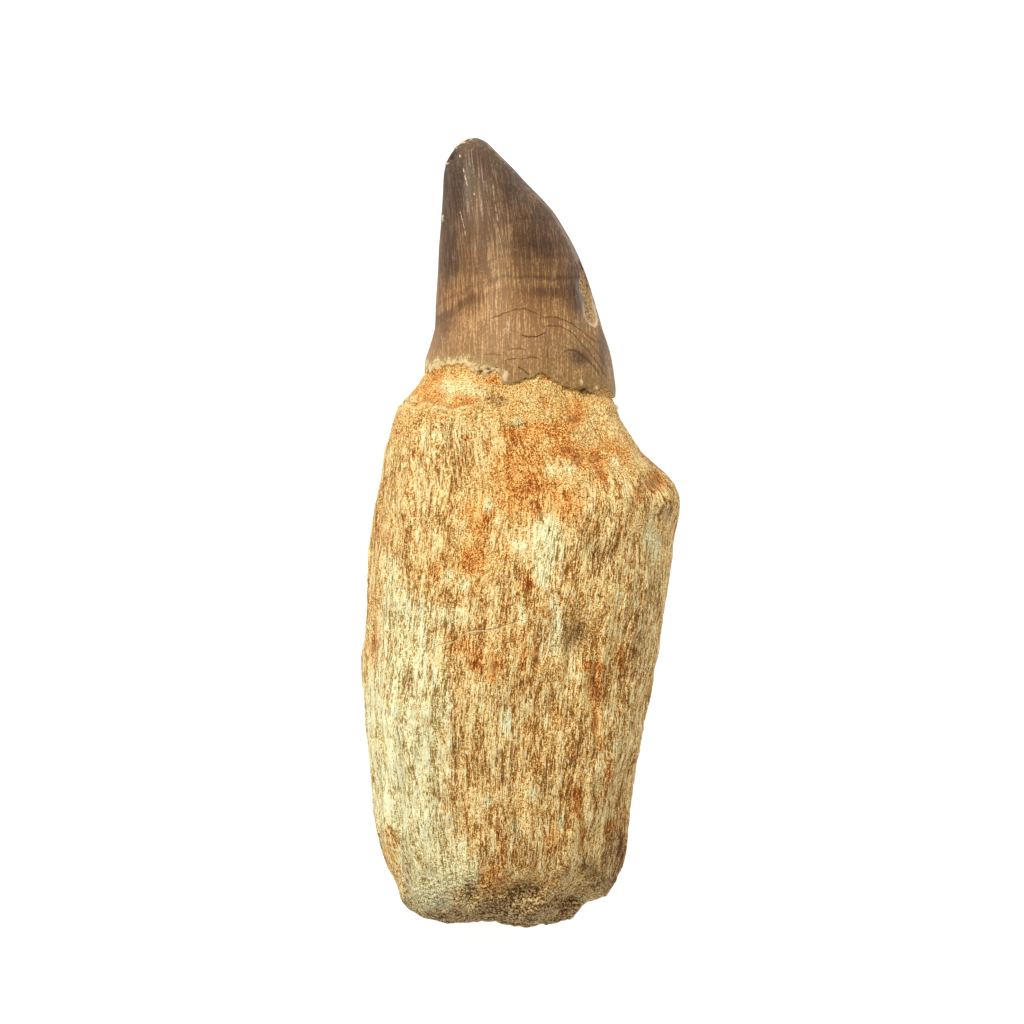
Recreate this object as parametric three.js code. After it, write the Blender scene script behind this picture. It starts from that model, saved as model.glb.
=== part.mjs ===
// A fossil mosasaur tooth, grown as one piece: a curved enamel crown with a cutting edge down each
// side, on a long swollen root of fibrous bone. It lies on its back, on the patch of the root that is
// worn flat. Millimetres, +Z up. +Y runs along the tooth to the tip, and +X is its bulging side.
// The origin is on the surface that it lies on, under the middle of its bounding box.
import * as THREE from "three";
import { ImprovedNoise } from "three/addons/math/ImprovedNoise.js";

const SIDES = 96; // vertices round each ring
const MARGIN_Y = 83.6; // mean height of the enamel's lower edge above the root's end
const MARGIN_REACH = 7; // the rings this near to the margin bend with it
const STEP_HALF = 0.12; // half the width of the step at the enamel's lower edge
const ENAMEL_STEP = 0.5; // how far the enamel stands out over the neck
const NECK_LENGTH = 3.5; // the neck fills out to the root's own surface this far below the enamel
const REST_Z = 0; // nothing reaches below this, which leaves the worn patch
const FRONT_FACING = [-0.1, 0.4]; // a normal's z where the front's dents begin and are whole
const END_FACING = [0.4, 0.9]; // how far a normal turns to -Y where the root's end begins and is whole

// Sections along the tooth, from the root's end to the tip. left, right, front and back are the
// section's four extremes; fullness is its superellipse exponent, 2 for an ellipse and more for a
// boxier one; keel draws the two sides out into cutting edges; rings counts the rings up to the next.
const STATIONS = [
  { y: 0.0, left: 0.6, right: 1.4, front: 16.5, back: 15.5, fullness: 2.2, keel: 0, rings: 5 },
  { y: 0.6, left: -10.6, right: 6.4, front: 24.5, back: 8.0, fullness: 2.3, keel: 0, rings: 1 },
  { y: 1.5, left: -15.0, right: 8.3, front: 28.0, back: 5.0, fullness: 2.4, keel: 0, rings: 1 },
  { y: 3.6, left: -17.4, right: 10.7, front: 31.0, back: 2.6, fullness: 2.5, keel: 0, rings: 2 },
  { y: 7.0, left: -19.2, right: 14.3, front: 33.2, back: 0.8, fullness: 2.5, keel: 0, rings: 2 },
  { y: 12.5, left: -21.3, right: 16.2, front: 35.2, back: -0.2, fullness: 2.6, keel: 0, rings: 3 },
  { y: 23.4, left: -22.8, right: 17.6, front: 36.8, back: -0.5, fullness: 2.6, keel: 0, rings: 3 },
  { y: 34.4, left: -23.7, right: 19.8, front: 37.8, back: -0.6, fullness: 2.6, keel: 0, rings: 3 },
  { y: 45.3, left: -24.0, right: 21.6, front: 38.3, back: -0.6, fullness: 2.6, keel: 0, rings: 3 },
  { y: 54.5, left: -23.7, right: 23.1, front: 38.1, back: -0.5, fullness: 2.6, keel: 0, rings: 2 },
  { y: 61.7, left: -22.4, right: 24.0, front: 37.3, back: -0.2, fullness: 2.6, keel: 0, rings: 1 },
  { y: 65.0, left: -21.8, right: 24.2, front: 36.7, back: 0.3, fullness: 2.6, keel: 0, rings: 1 },
  { y: 67.3, left: -21.6, right: 23.4, front: 36.2, back: 0.9, fullness: 2.5, keel: 0, rings: 1 },
  { y: 69.4, left: -21.3, right: 21.3, front: 35.6, back: 1.5, fullness: 2.5, keel: 0, rings: 1 },
  { y: 72.5, left: -20.6, right: 18.5, front: 34.5, back: 2.6, fullness: 2.4, keel: 0, rings: 2 },
  { y: 77.0, left: -19.2, right: 15.3, front: 32.8, back: 4.2, fullness: 2.3, keel: 0, rings: 1 },
  { y: 79.8, left: -18.2, right: 14.4, front: 31.4, back: 5.2, fullness: 2.2, keel: 0, rings: 1 },
  { y: 81.9, left: -15.9, right: 14.3, front: 30.8, back: 5.7, fullness: 2.1, keel: 0.05, rings: 2 },
  { y: MARGIN_Y - STEP_HALF, left: -14.4, right: 14.4, front: 30.5, back: 6, fullness: 2, keel: 0.1, rings: 1 },
  { y: MARGIN_Y + STEP_HALF, left: -14.4, right: 14.4, front: 30.5, back: 6, fullness: 2, keel: 0.1, rings: 1 },
  { y: 86.5, left: -14.3, right: 13.9, front: 30.1, back: 6.4, fullness: 2, keel: 0.18, rings: 2 },
  { y: 92.7, left: -12.8, right: 12.2, front: 28.4, back: 7.3, fullness: 2, keel: 0.25, rings: 3 },
  { y: 100.0, left: -12.2, right: 9.9, front: 25.9, back: 8.4, fullness: 2, keel: 0.28, rings: 2 },
  { y: 107.3, left: -11.8, right: 6.1, front: 22.9, back: 9.3, fullness: 2, keel: 0.28, rings: 2 },
  { y: 111.0, left: -11.7, right: 3.0, front: 21.0, back: 9.8, fullness: 2, keel: 0.25, rings: 2 },
  { y: 114.6, left: -11.6, right: -0.3, front: 18.9, back: 10.3, fullness: 2, keel: 0.2, rings: 1 },
  { y: 116.6, left: -11.1, right: -2.1, front: 17.6, back: 10.8, fullness: 2.1, keel: 0.1, rings: 1 },
  { y: 118.4, left: -9.8, right: -3.9, front: 16.2, back: 11.6, fullness: 2.1, keel: 0, rings: 1 },
  { y: 119.6, left: -8.3, right: -5.2, front: 14.9, back: 12.6, fullness: 2.1, keel: 0, rings: 1 },
  { y: 120.0, left: -7.1, right: -6.3, front: 13.9, back: 13.5, fullness: 2.1, keel: 0, rings: 0 },
];

// The enamel's ragged lower edge: its height above the root's end at angles round the tooth, in
// degrees from the bulging side, over the front, to the hollow side and back underneath.
const ENAMEL_MARGIN = [
  [0, 80.4], [18, 81.3], [27, 81.9], [34, 81.5], [46, 81.5], [56, 81.9], [65, 82.8], [72, 84.2],
  [79, 83.6], [88, 82.8], [97, 82.5], [101, 84.8], [114, 84.4], [123, 85.7], [135, 85.1],
  [151, 85.4], [180, 85.3], [200, 84.9], [225, 84.2], [250, 83.1], [270, 83.8], [290, 82.5],
  [315, 82.9], [340, 81.2], [360, 80.4],
];

// Dents (depth above 0) and swellings (below 0) in two faces of the tooth. u is x; v is y on the
// front and z on the root's end. reachU and reachV are their sizes, before lean turns them, in
// degrees clockwise from v.
const FRONT_DENTS = [
  { u: 10.6, v: 95.6, reachU: 1.2, reachV: 5.0, lean: 17, depth: 0.8 }, // chip in the cutting edge
  { u: -2.6, v: 78.4, reachU: 3.6, reachV: 1.7, lean: 75, depth: 0.5 }, // hollow below the crown
  { u: -11.0, v: 77.6, reachU: 1.5, reachV: 5.6, lean: 88, depth: -0.5 }, // lip of the bone
  { u: 8.6, v: 43.8, reachU: 2.4, reachV: 3.6, lean: 10, depth: 0.8 },
  { u: 12.5, v: 54.5, reachU: 5.5, reachV: 4.5, lean: 0, depth: 0.6 },
  { u: -9.0, v: 60.0, reachU: 3.0, reachV: 6.0, lean: 0, depth: 0.5 },
  { u: 20.6, v: 67.4, reachU: 1.6, reachV: 1.9, lean: 0, depth: 0.8 }, // pit behind the knob
  { u: 23.0, v: 65.0, reachU: 2.2, reachV: 2.6, lean: 0, depth: -0.7 }, // knob on the shoulder
  { u: -17.4, v: 13.0, reachU: 1.2, reachV: 7.5, lean: -6, depth: 0.7 }, // groove by the hollow side
  { u: -19.6, v: 14.0, reachU: 1.2, reachV: 9.0, lean: -6, depth: -0.4 },
  { u: -0.8, v: 6.2, reachU: 4.5, reachV: 3.0, lean: -30, depth: 1.3 },
  { u: 11.6, v: 3.4, reachU: 3.2, reachV: 2.0, lean: 40, depth: 1.2 },
];
const END_DENTS = [
  { u: -5.5, v: 16.5, reachU: 7.0, reachV: 5.5, lean: 0, depth: 1.6 }, // hollow of the pulp
  { u: 1.8, v: 25.5, reachU: 3.6, reachV: 3.4, lean: 0, depth: -0.5 },
  { u: -12.5, v: 24.0, reachU: 3.0, reachV: 4.0, lean: 30, depth: -0.6 },
  { u: 6.5, v: 11.0, reachU: 3.0, reachV: 4.0, lean: -20, depth: 0.9 },
];

// Swells and flutes of the surface: their size across and along the tooth, and their height on the
// root's sides, on its end and on the crown.
const SWELLS = [
  { across: 15, along: 22, rootHeight: 1.3, endHeight: 1.6, crownHeight: 0.2 },
  { across: 5.5, along: 9, rootHeight: 0.6, endHeight: 1.3, crownHeight: 0.07 },
  { across: 2.3, along: 15, rootHeight: 0.55, endHeight: 0, crownHeight: 0 },
];

const BONE = new THREE.Color(0xc9a05e);
const ENAMEL = new THREE.Color(0x6e5138);

const noise = new ImprovedNoise();
const { lerp, smoothstep, degToRad, radToDeg } = THREE.MathUtils;

// One spline through the stations for each of their measures, paired with their y.
const SPLINES = Object.fromEntries(
  ["left", "right", "front", "back", "fullness", "keel"].map((measure) => [
    measure,
    new THREE.SplineCurve(STATIONS.map((station) => new THREE.Vector2(station[measure], station.y))),
  ]),
);

// The section at share u of the way through the stations.
function sectionAt(u) {
  const section = { y: SPLINES.left.getPoint(u).y };
  for (const [measure, spline] of Object.entries(SPLINES)) section[measure] = spline.getPoint(u).x;
  return section;
}

// The sections of all the rings, without the two end points.
function ringSections() {
  const spans = STATIONS.length - 1;
  return STATIONS.slice(0, -1)
    .flatMap(({ rings }, index) =>
      Array.from({ length: rings }, (_, ring) => sectionAt((index + ring / rings) / spans)),
    )
    .slice(1);
}

function marginAt(angle) {
  const degrees = radToDeg(angle);
  const next = ENAMEL_MARGIN.findIndex(([a]) => a > degrees);
  const [a0, y0] = ENAMEL_MARGIN[next - 1];
  const [a1, y1] = ENAMEL_MARGIN[next];
  return lerp(y0, y1, (degrees - a0) / (a1 - a0));
}

// The point of the smooth tooth at this angle of a section. Near the enamel's lower edge the rings
// bend to follow it.
function smoothPoint(section, angle) {
  const cos = Math.cos(angle);
  const sin = Math.sin(angle);
  const power = 2 / section.fullness;
  const halfWidth = (section.right - section.left) / 2;
  const halfDepth = (section.front - section.back) / 2;
  const nearMargin = 1 - smoothstep(Math.abs(section.y - MARGIN_Y), 0, MARGIN_REACH);
  return new THREE.Vector3(
    (section.left + section.right) / 2 + halfWidth * Math.sign(cos) * Math.abs(cos) ** power,
    section.y + (marginAt(angle) - MARGIN_Y) * nearMargin,
    (section.front + section.back) / 2 +
      halfDepth * Math.sign(sin) * Math.abs(sin) ** (power + section.keel),
  );
}

function endPoint(station) {
  return new THREE.Vector3(
    (station.left + station.right) / 2,
    station.y,
    (station.front + station.back) / 2,
  );
}

function dentDepth(dents, u, v) {
  let depth = 0;
  for (const dent of dents) {
    const lean = degToRad(dent.lean);
    const du = u - dent.u;
    const dv = v - dent.v;
    const across = (du * Math.cos(lean) - dv * Math.sin(lean)) / dent.reachU;
    const along = (dv * Math.cos(lean) + du * Math.sin(lean)) / dent.reachV;
    depth += dent.depth * Math.exp(-(across * across + along * along));
  }
  return depth;
}

// How far the finished surface stands out from the smooth one, at a point with this normal on a ring
// that started at height ringY.
function reliefAt(point, normal, ringY) {
  const belowMargin = MARGIN_Y - ringY;
  const onRoot = smoothstep(belowMargin, -STEP_HALF, NECK_LENGTH);
  const onFront = smoothstep(normal.z, ...FRONT_FACING);
  const onEnd = smoothstep(-normal.y, ...END_FACING);
  let relief = 0;
  for (const { across, along, rootHeight, endHeight, crownHeight } of SWELLS) {
    const height = lerp(crownHeight, lerp(rootHeight, endHeight, onEnd), onRoot);
    relief += height * noise.noise(point.x / across, point.y / along, point.z / across);
  }
  relief -= dentDepth(FRONT_DENTS, point.x, point.y) * onFront;
  relief -= dentDepth(END_DENTS, point.x, point.z) * onEnd;
  if (belowMargin > 0) {
    relief -= ENAMEL_STEP * (1 - smoothstep(belowMargin, STEP_HALF, NECK_LENGTH));
  }
  return relief;
}

// The faces of a tube of rings that a point closes at each end, all turned outwards.
function tubeFaces(rings) {
  const at = (ring, side) => 1 + ring * SIDES + (side % SIDES);
  const last = 1 + rings * SIDES;
  const faces = [];
  for (let side = 0; side < SIDES; side++) {
    faces.push(0, at(0, side), at(0, side + 1));
    for (let ring = 0; ring < rings - 1; ring++) {
      const [a, b] = [at(ring, side), at(ring, side + 1)];
      const [c, d] = [at(ring + 1, side), at(ring + 1, side + 1)];
      faces.push(a, c, b, b, c, d);
    }
    faces.push(at(rings - 1, side), last, at(rings - 1, side + 1));
  }
  return faces;
}

function toothGeometry() {
  const sections = ringSections();
  const points = [endPoint(STATIONS[0])];
  const ringYs = [STATIONS[0].y];
  for (const section of sections) {
    for (let side = 0; side < SIDES; side++) {
      points.push(smoothPoint(section, (2 * Math.PI * side) / SIDES));
      ringYs.push(section.y);
    }
  }
  points.push(endPoint(STATIONS.at(-1)));
  ringYs.push(STATIONS.at(-1).y);

  const geometry = new THREE.BufferGeometry().setFromPoints(points);
  geometry.setIndex(tubeFaces(sections.length));
  geometry.computeVertexNormals();
  const normals = geometry.getAttribute("normal");
  const carved = points.map((point, index) => {
    const normal = new THREE.Vector3().fromBufferAttribute(normals, index);
    const moved = point.clone().addScaledVector(normal, reliefAt(point, normal, ringYs[index]));
    return moved.setZ(Math.max(REST_Z, moved.z));
  });
  geometry.setFromPoints(carved);
  const colours = ringYs.flatMap((y) => (y < MARGIN_Y ? BONE : ENAMEL).toArray());
  geometry.setAttribute("color", new THREE.Float32BufferAttribute(colours, 3));
  geometry.computeVertexNormals();

  geometry.computeBoundingBox();
  const middle = geometry.boundingBox.getCenter(new THREE.Vector3());
  return geometry.translate(-middle.x, -middle.y, -geometry.boundingBox.min.z);
}

const tooth = new THREE.Mesh(
  toothGeometry(),
  new THREE.MeshStandardMaterial({ vertexColors: true, roughness: 0.75, metalness: 0 }),
);
tooth.name = "tooth";

const fossil = new THREE.Group();
fossil.add(tooth);

export default fossil;
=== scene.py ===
"""A fossil mosasaur tooth lying on its back on a pale table, seen from straight above.

The visible tooth is one closed mesh. A ringed blank is extruded through the sections of the solid
tooth, subdivided and wrapped onto it, and then carved: bone fibres, pits, the lip of the root, the
enamel's ragged edge and the chip. Two materials finish it, fibrous bone and banded enamel, which
read what the carving has written at each vertex.
"""
import math

import bpy
import numpy as np
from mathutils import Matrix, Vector, noise


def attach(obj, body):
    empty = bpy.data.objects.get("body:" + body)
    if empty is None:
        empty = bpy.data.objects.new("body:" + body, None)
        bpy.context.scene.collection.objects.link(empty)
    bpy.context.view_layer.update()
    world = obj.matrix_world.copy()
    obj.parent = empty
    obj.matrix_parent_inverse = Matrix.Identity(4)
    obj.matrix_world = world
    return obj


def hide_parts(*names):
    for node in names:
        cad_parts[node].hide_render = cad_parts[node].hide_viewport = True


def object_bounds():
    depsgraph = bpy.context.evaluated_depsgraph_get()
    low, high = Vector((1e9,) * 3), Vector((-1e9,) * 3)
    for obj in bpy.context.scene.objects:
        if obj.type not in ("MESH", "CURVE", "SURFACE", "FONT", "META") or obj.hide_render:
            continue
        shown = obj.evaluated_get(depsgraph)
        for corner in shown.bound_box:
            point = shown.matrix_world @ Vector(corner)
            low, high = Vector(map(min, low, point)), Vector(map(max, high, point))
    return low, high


MM = 0.001

# Heights are in millimetres above the root's end and places across in millimetres from the middle.
MARGIN_HEIGHT = 83.8  # mean height of the enamel's lower edge
STEP_REACH = 3.6  # the solid's step at that edge is smoothed this far above and below it
STEP_SMOOTHINGS = 60
PULL_REACH = 7.5  # the blank's rings are pulled to that edge's shape from this far off
GRAIN_RADIUS = 22.0  # the bone's grain is drawn on a cylinder of this radius and bent to the tooth
CROWN_RADIUS = 9.0  # middling radius of the crown
CRACKS_CENTRE = (1.0, 78.0)  # the crown's cracks curve round this point
LIP_FADE = (-5.6, -7.4)  # the root's lip begins at the first of these and is whole at the second

# The blank: sides of its rings, and each ring's height and share of the tooth's section there.
BLANK_SIDES = 54
BLANK_RINGS = [
    (0.5, 0.3), (0.7, 0.72), (2.2, 1), (6.5, 1), (12.5, 1), (19, 1), (25.5, 1), (32, 1), (38.5, 1),
    (45, 1), (51.5, 1), (57.5, 1), (62.5, 1), (66.5, 1), (70, 1), (74.5, 1), (79, 1), (82, 1),
    (83.2, 1), (84.4, 1), (86.6, 1), (93.5, 1), (101, 1), (108, 1), (113, 1), (116.4, 1),
    (118.7, 1), (119.8, 1),
]
BLANK_LEVELS = 3
TIP_RISE = 0.3  # the fans that close the blank have their middles this far beyond its last rings
END_RISE = -0.1
POINTED_FROM = 110.0  # from this height on, the sections are taken from thinner slices
SLICE = 0.8
POINTED_SLICE = 0.35

# Trims of the front's outline, as height and move to the right for its left and right sides, and
# as place across and move up for the root's end.
LEFT_TRIM = [
    (0, 0), (3, 0.6), (11, 0.7), (15, 0.4), (26, 0.4), (34, 0.6), (60, 0.7), (66, 0), (80, 0.1),
    (83, 0.6), (85.5, -0.2), (88, 0.5), (91, 0.5), (94, 0), (104, -0.2), (112, 0.1), (120, 0),
]
RIGHT_TRIM = [
    (0, 0), (2, 0.7), (4.2, -0.5), (5.5, 0.4), (8, 0), (22, -0.1), (26, 0.4), (30, 0.5), (34, 0),
    (50, 0.1), (60, -0.3), (64, 0.3), (66, 0.4), (69, 0.3), (71, -0.4), (75, 0), (77.5, -0.4),
    (78.6, -0.3), (79.5, 0.4), (81, 0.5), (82, 0.5), (87, 0.4), (91, 0), (109, 0.2), (114, 0),
    (120, -0.2),
]
END_TRIM = [
    (-16, 0), (-14, -0.45), (-12, -0.3), (-8, -0.1), (-6, 0.3), (-4.8, 0.4), (-2, 0.1), (0, 0),
    (1, -0.45), (2.5, -1), (4.3, -1), (5.2, -0.5), (6.5, 0), (8, -0.5), (9.8, -0.5), (11, 0),
    (12.5, -0.4), (13.4, -1), (14.6, -0.5), (15.5, 0),
]

# The enamel's lower edge: angle round the tooth, from the bulging side over the front, and height.
ENAMEL_EDGE = [
    (0, 80.6), (12, 81), (20, 81.8), (26, 82.5), (31, 81.8), (40, 81.5), (46, 81.7), (60, 82.4),
    (65, 83.1), (69, 83.8), (72, 84.4), (75, 84.3), (79, 83.8), (83, 83.5), (88, 83.1), (93, 82.8),
    (97, 82.8), (99, 84.1), (101, 85), (106, 84.6), (110, 84.3), (114, 84.6), (119, 85.3),
    (123, 85.9), (128, 85.8), (141, 85.5), (151, 85.6), (160, 85.2), (180, 85.5), (188, 84.9),
    (200, 85.1), (214, 84.3), (225, 84.4), (238, 83.2), (250, 83.3), (262, 84.1), (270, 84),
    (281, 82.8), (290, 82.7), (303, 83.4), (315, 83.1), (328, 81.8), (340, 81.4), (360, 80.6),
]

CHIP = [
    (9.3, 101.2), (9.4, 99.6), (9.5, 98.5), (9.1, 97.4), (9.6, 96.7), (9.9, 95.8), (10, 94.8),
    (10.2, 93.2), (10.7, 92.2), (11.7, 91.5), (12.3, 92.2), (12.2, 93.2), (11.8, 94.7), (11.6, 96.3),
    (11.4, 98.5), (10.4, 101),
]
LIP = [
    (-21, 79), (-17.1, 79.7), (-15.5, 79.1), (-14.7, 79.5), (-13.7, 79.8), (-12.7, 79.4),
    (-11.1, 79.1), (-10, 78.8), (-8.6, 79.2), (-7.4, 79.3), (-6.2, 79.8),
]
SCAR = [(-13.0, 42.6), (-9.5, 43.8), (-7.3, 45.1), (-3.9, 45.4), (-1.8, 46.0), (0.3, 46.9)]
# The pale line down the crown's right cutting edge: partly wear, partly a painted highlight.
WORN_HIGHLIGHT_EDGE = [(-4.2, 119.2), (0.5, 114.6), (5.2, 109.4), (7.4, 105.6), (9.3, 101.4)]

# Cracks in the enamel's front: points across and up the tooth, the crack's half width and depth.
CRACKS = [
    ([(-4.4, 92.5), (-2.5, 93.2), (-0.9, 93.8), (0.6, 94.1), (2, 93.7), (3.4, 93.1)], 0.08, 0.6),
    ([(3.6, 92.8), (5.1, 92.8), (7, 92.4), (9.1, 91.2), (10.5, 90.1), (12.1, 88.9)], 0.07, 0.6),
    ([(3.7, 91.3), (5.4, 91.5), (7.1, 91.1), (9.7, 88.8), (11, 87.3), (13.5, 83.4)], 0.08, 0.6),
    ([(0.5, 90), (1.8, 89.8), (3.1, 90), (4.6, 90.7)], 0.08, 0.85),
    ([(6.8, 87.4), (7.8, 87.8), (8.7, 87.7), (9.5, 87.2), (11.2, 85.7), (12.4, 84)], 0.12, 0.7),
    ([(-1.8, 86.4), (0, 86.5), (1.1, 86.5), (2.2, 86.8), (3.7, 86.1)], 0.08, 0.6),
    ([(0, 85.2), (0.8, 84.8), (1.3, 84.4), (1.9, 84)], 0.08, 0.8),
    ([(-5.3, 87.1), (-4, 87.2), (-2.3, 87)], 0.07, 0.5),
    ([(-1.6, 87.8), (0, 88), (1.3, 87.8)], 0.07, 0.55),
    ([(9.4, 90.2), (11, 88.8), (12.4, 86.9), (13.5, 84.9)], 0.07, 0.5),
    ([(10.6, 91), (12, 89.6), (13.4, 87.6)], 0.06, 0.35),
]

# Spots of the front: across, height, reach across, reach along, strength. FORM_SPOTS are hollows
# and ridges in millimetres, and the light spots lighten or darken the bone's tone: partly its own
# tone, partly painted light down its left edge and painted shade at the root's end and lower right edge.
PALE_SPOTS = [
    (4.1, 58.3, 2, 3.6, 2.3), (3.9, 53.4, 1.2, 2, 1.2), (0, 58, 1.1, 1.6, 0.8),
    (5.8, 44.6, 0.8, 3.2, 1.4), (5.3, 49.4, 1.2, 1.6, 0.8), (4.6, 43.6, 1, 1.2, 0.6),
    (0.8, 46.8, 0.9, 1, 1.1), (0.6, 49.2, 1.2, 1.5, 0.8), (2, 43.8, 0.5, 1.3, 1),
    (2.8, 47, 0.8, 1.1, 0.7), (-1.8, 31.6, 0.8, 2.2, 1.5), (-4.4, 64.5, 0.8, 1.2, 1.2),
    (-8.8, 66.4, 0.7, 1.6, 0.7), (-4.8, 70.6, 1.3, 2.2, 0.7), (-3.2, 61.9, 0.6, 0.8, 0.9),
    (-12.4, 60.8, 0.8, 1.6, 0.7), (-10.6, 53.6, 0.8, 1.4, 1), (-8.2, 52.4, 0.9, 1.2, 1.2),
    (-5.9, 53.7, 0.5, 0.7, 0.9), (-10.3, 47.6, 1.8, 1.8, 1), (-16.4, 46.6, 3.8, 4.6, 1),
    (-19.5, 53, 2, 7, 0.7), (-17, 34, 6, 11, 1.1), (-11.5, 36, 1.6, 4, 0.6),
    (-17, 21, 5.5, 9, 1.2), (-13.3, 13.4, 3.2, 3, 1), (-20, 12, 2, 5, 0.8),
    # The spot at (-22.6, 30) on the next line is a painted highlight down the root's left edge.
    (-22.6, 30, 1.4, 9, 0.7), (-13, 6, 4.4, 5, 1), (-8, 9, 2.6, 2.6, 0.8),
    (-19.4, 11, 1, 5.5, -1.5), (-4.2, 19.5, 2, 1.4, 0.8), (-8, 12.5, 2, 3, 0.5),
    (-0.4, 15, 1.3, 2.4, 0.8), (7.9, 69.8, 1.3, 1, 1), (4.9, 69.6, 1.1, 1, 0.7),
    (14.8, 70.8, 0.7, 1.4, 0.9), (16.4, 65.6, 0.7, 2.4, 0.7), (12.4, 63, 2.2, 2.8, 0.6),
    (20.3, 59.6, 1.4, 3.8, 0.7), (21.3, 53, 0.8, 4, 0.7), (17.7, 50, 0.5, 1.6, 0.8),
    (14.8, 27.9, 1.3, 1.8, 0.6), (6.4, 16.4, 0.6, 1.8, 0.9), (2.3, 20.7, 0.4, 1.2, 0.9),
    (11.9, 21.5, 0.6, 3, 0.5), (-17.1, 80.6, 1.5, 1.5, 0.8), (-9, 82.4, 3.6, 1.6, 0.55),
    (3, 80.4, 3, 2, 0.5), (-12, 75.5, 5, 3, 0.5), (-11, 82.4, 2, 1.2, 0.35),
    (-6, 81.4, 2.4, 1.4, 0.5), (11, 81.4, 3, 1.4, 0.4), (-0.4, 77, 1, 0.6, 0.9),
]
RUST_SPOTS = [
    (-12.6, 83.9, 1, 1.2, 1.5), (-13.8, 81.5, 2.4, 1.6, 1.2), (-8, 80.3, 1.6, 0.7, 1.5),
    (-9.8, 79.2, 1.2, 0.5, 1.4), (4.4, 83.6, 0.8, 0.8, 1), (3.9, 80.2, 0.8, 0.9, 1.1),
    (9, 79.4, 3, 1.8, 0.7), (-3.6, 83.2, 1.4, 0.7, 0.9), (8.8, 77.5, 1.2, 0.8, 2),
    (0, 75.2, 2.4, 0.9, 1), (5.2, 75.6, 3, 1.3, 1.2), (7.2, 72.8, 1.6, 1, 2),
    (9.1, 71.2, 1, 1.3, 2.1), (11.6, 71.6, 1, 1, 2.1), (12.8, 68.9, 0.8, 1.5, 1.6),
    (21, 68, 1.2, 1.3, 2.4), (18.6, 65.9, 0.8, 1, 1.3), (15, 73, 4.5, 3.5, 0.7),
    (-7.9, 74.5, 0.6, 1, 1), (-14.9, 72, 0.9, 0.7, 0.7), (-15.5, 68, 2, 1.6, 0.6),
    (0.5, 68.5, 4.4, 6, 1.2), (6.4, 64, 3.4, 3, 1.2), (-5.7, 62.6, 2.6, 2.6, 1.1),
    (-7, 56, 2.6, 2.6, 1.1), (-12.6, 54.5, 1.6, 2.4, 0.8), (1.9, 52.8, 1.4, 1.1, 1.3),
    (-20.8, 60, 1.4, 3, 0.6), (-22.2, 43.1, 0.9, 1.5, 1.4), (-21, 40.8, 0.7, 1.3, 1),
    (-8.5, 43.2, 2.4, 1.3, 0.8), (-5, 40.3, 2.8, 2, 1.1), (-3.4, 39.5, 0.9, 1.6, 1.4),
    (1.1, 41.6, 1.6, 3.8, 0.8), (4.1, 48.6, 1.5, 1.2, 0.8), (11.2, 39.8, 2.4, 0.9, 1.1),
    (11.8, 37, 0.8, 3.2, 1.3), (15.5, 41.6, 0.8, 2.6, 1.1), (11.9, 31.2, 0.8, 2, 1.6),
    (12.6, 28, 0.6, 1.6, 1.3), (13.7, 24.1, 0.6, 1.3, 1.2), (13.6, 15.6, 0.9, 0.8, 1.8),
    (8.8, 20.3, 0.8, 3.8, 1.4), (9.9, 15, 0.6, 3.2, 1.4), (5.4, 14.2, 0.9, 2.4, 1.2),
    (15.9, 13.2, 0.7, 3, 0.8), (15, 8.6, 0.8, 2, 0.8), (-11.8, 18.8, 1.8, 1.9, 0.9),
    (-4, 7.6, 2.4, 2.6, 1.1), (-2.8, 12, 1, 3.6, 0.7), (-16.8, 12.7, 0.8, 1.2, 1.3),
    (4, 28, 6, 8, 0.35),
]
# Brown stains of the front, and painted shade at the root's end and in its hollows, under the flake on the
# neck and down its lower right edge.
BROWN_AND_SHADE_SPOTS = [
    (12.5, 57, 4.4, 3.4, 0.9), (9.4, 44, 2.1, 3.2, 1.2), (-1.9, 53, 1.6, 2.4, 0.8),
    (-16.4, 37.8, 1.1, 2.8, 0.9), (4.1, 38.5, 1.8, 1.5, 0.6), (-9.5, 27.1, 1.5, 1.6, 0.6),
    (-2.8, 23.2, 1.8, 1.6, 0.7), (8.2, 25.3, 0.9, 0.8, 1.1), (18.6, 43.8, 1.8, 9, 0.7),
    (22.6, 63.4, 1.4, 1.8, 1), (21.2, 67.6, 0.8, 0.9, 1), (20.4, 52, 2, 6, 0.3),
    (16, 24, 3, 14, 0.4), (10.4, 10, 3, 3, 0.45), (1.1, 5.6, 3, 1.4, 1.2),
    (-2.7, 3.4, 3, 1.4, 1), (-7.6, 6.2, 1, 1.6, 0.9), (-12.5, 3, 4, 3, 0.3),
    (15, 9.5, 1.6, 4.5, 2.4), (7.2, 3.6, 2.3, 1.3, 1.2), (12.6, 6.4, 2.4, 1.2, 0.8),
    (0, 0.8, 16, 2.6, 1.2), (-3.2, 80, 1.8, 0.9, 1.3), (-6, 6.6, 2, 1, 0.5),
    (0, 78, 1.6, 0.5, 0.9), (14, 47, 3.5, 7, 0.35),
]
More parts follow.
